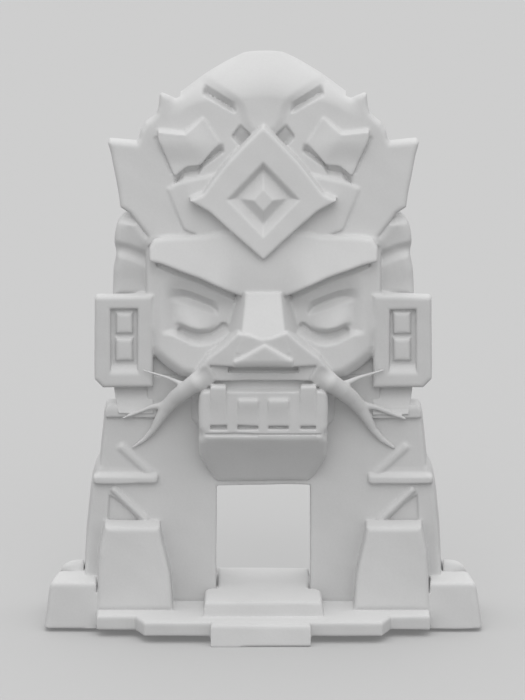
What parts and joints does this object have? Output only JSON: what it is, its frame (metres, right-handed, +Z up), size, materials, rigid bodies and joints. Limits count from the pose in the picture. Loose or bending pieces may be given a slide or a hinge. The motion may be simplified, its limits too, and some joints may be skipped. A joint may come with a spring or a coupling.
{
  "type": "tiki gateway ornament",
  "caption": "Pale stone tiki gateway ornament: a feathered idol head with bared teeth over an open doorway on a stepped base.",
  "frame": {"origin": "on the ground, centre of the object's footprint; Y=0 is the front plane of the piers", "axes": "+Z up, +Y from the face towards the back, +X towards the viewer's right when looking at the face"},
  "size_m": [0.2274, 0.1194, 0.2997],
  "materials": {
    "gate_stone": "matte, fine-grained pale cast stone",
    "idol_stone": "matte, fine-grained pale carved stone",
    "inset_stone": "matte, smoother pale stone insets",
    "foot_rubber": "matte"
  },
  "bodies": {
    "root": {"band_left": "gate_stone", "band_right": "gate_stone", "base_slab": "gate_stone", "beard_branch_left": "idol_stone", "beard_branch_right": "idol_stone", "brace_lower_left": "gate_stone", "brace_lower_right": "gate_stone", "brace_upper_left": "gate_stone", "brace_upper_right": "gate_stone", "brow": "idol_stone", "buttress_left": "gate_stone", "buttress_right": "gate_stone", "corner_block_front_left": "gate_stone", "corner_block_front_right": "gate_stone", "corner_block_rear_left": "gate_stone", "corner_block_rear_right": "gate_stone", "crest": "idol_stone", "diamond_frame": "idol_stone", "diamond_gem": "inset_stone", "ear_inlay_lower_left": "inset_stone", "ear_inlay_lower_right": "inset_stone", "ear_inlay_upper_left": "inset_stone", "ear_inlay_upper_right": "inset_stone", "ear_left": "idol_stone", "ear_right": "idol_stone", "eye_left": "inset_stone", "eye_right": "inset_stone", "face_mask": "idol_stone", "feather_high_left": "idol_stone", "feather_high_right": "idol_stone", "feather_low_left": "idol_stone", "feather_low_right": "idol_stone", "foot_pad_front_left": "foot_rubber", "foot_pad_front_right": "foot_rubber", "foot_pad_rear_left": "foot_rubber", "foot_pad_rear_right": "foot_rubber", "forehead": "idol_stone", "front_step": "gate_stone", "head_core": "idol_stone", "jaw_block": "idol_stone", "leaf_lower_left": "idol_stone", "leaf_lower_right": "idol_stone", "leaf_upper_left": "idol_stone", "leaf_upper_right": "idol_stone", "lintel": "gate_stone", "neck_block": "idol_stone", "nose": "idol_stone", "pier_cap_left": "gate_stone", "pier_cap_right": "gate_stone", "pier_left": "gate_stone", "pier_right": "gate_stone", "side_hair_left": "idol_stone", "side_hair_right": "idol_stone", "threshold": "gate_stone", "tooth_inner_left": "inset_stone", "tooth_inner_right": "inset_stone", "tooth_outer_left": "inset_stone", "tooth_outer_right": "inset_stone", "upper_lip": "idol_stone"}
  },
  "joints": []
}
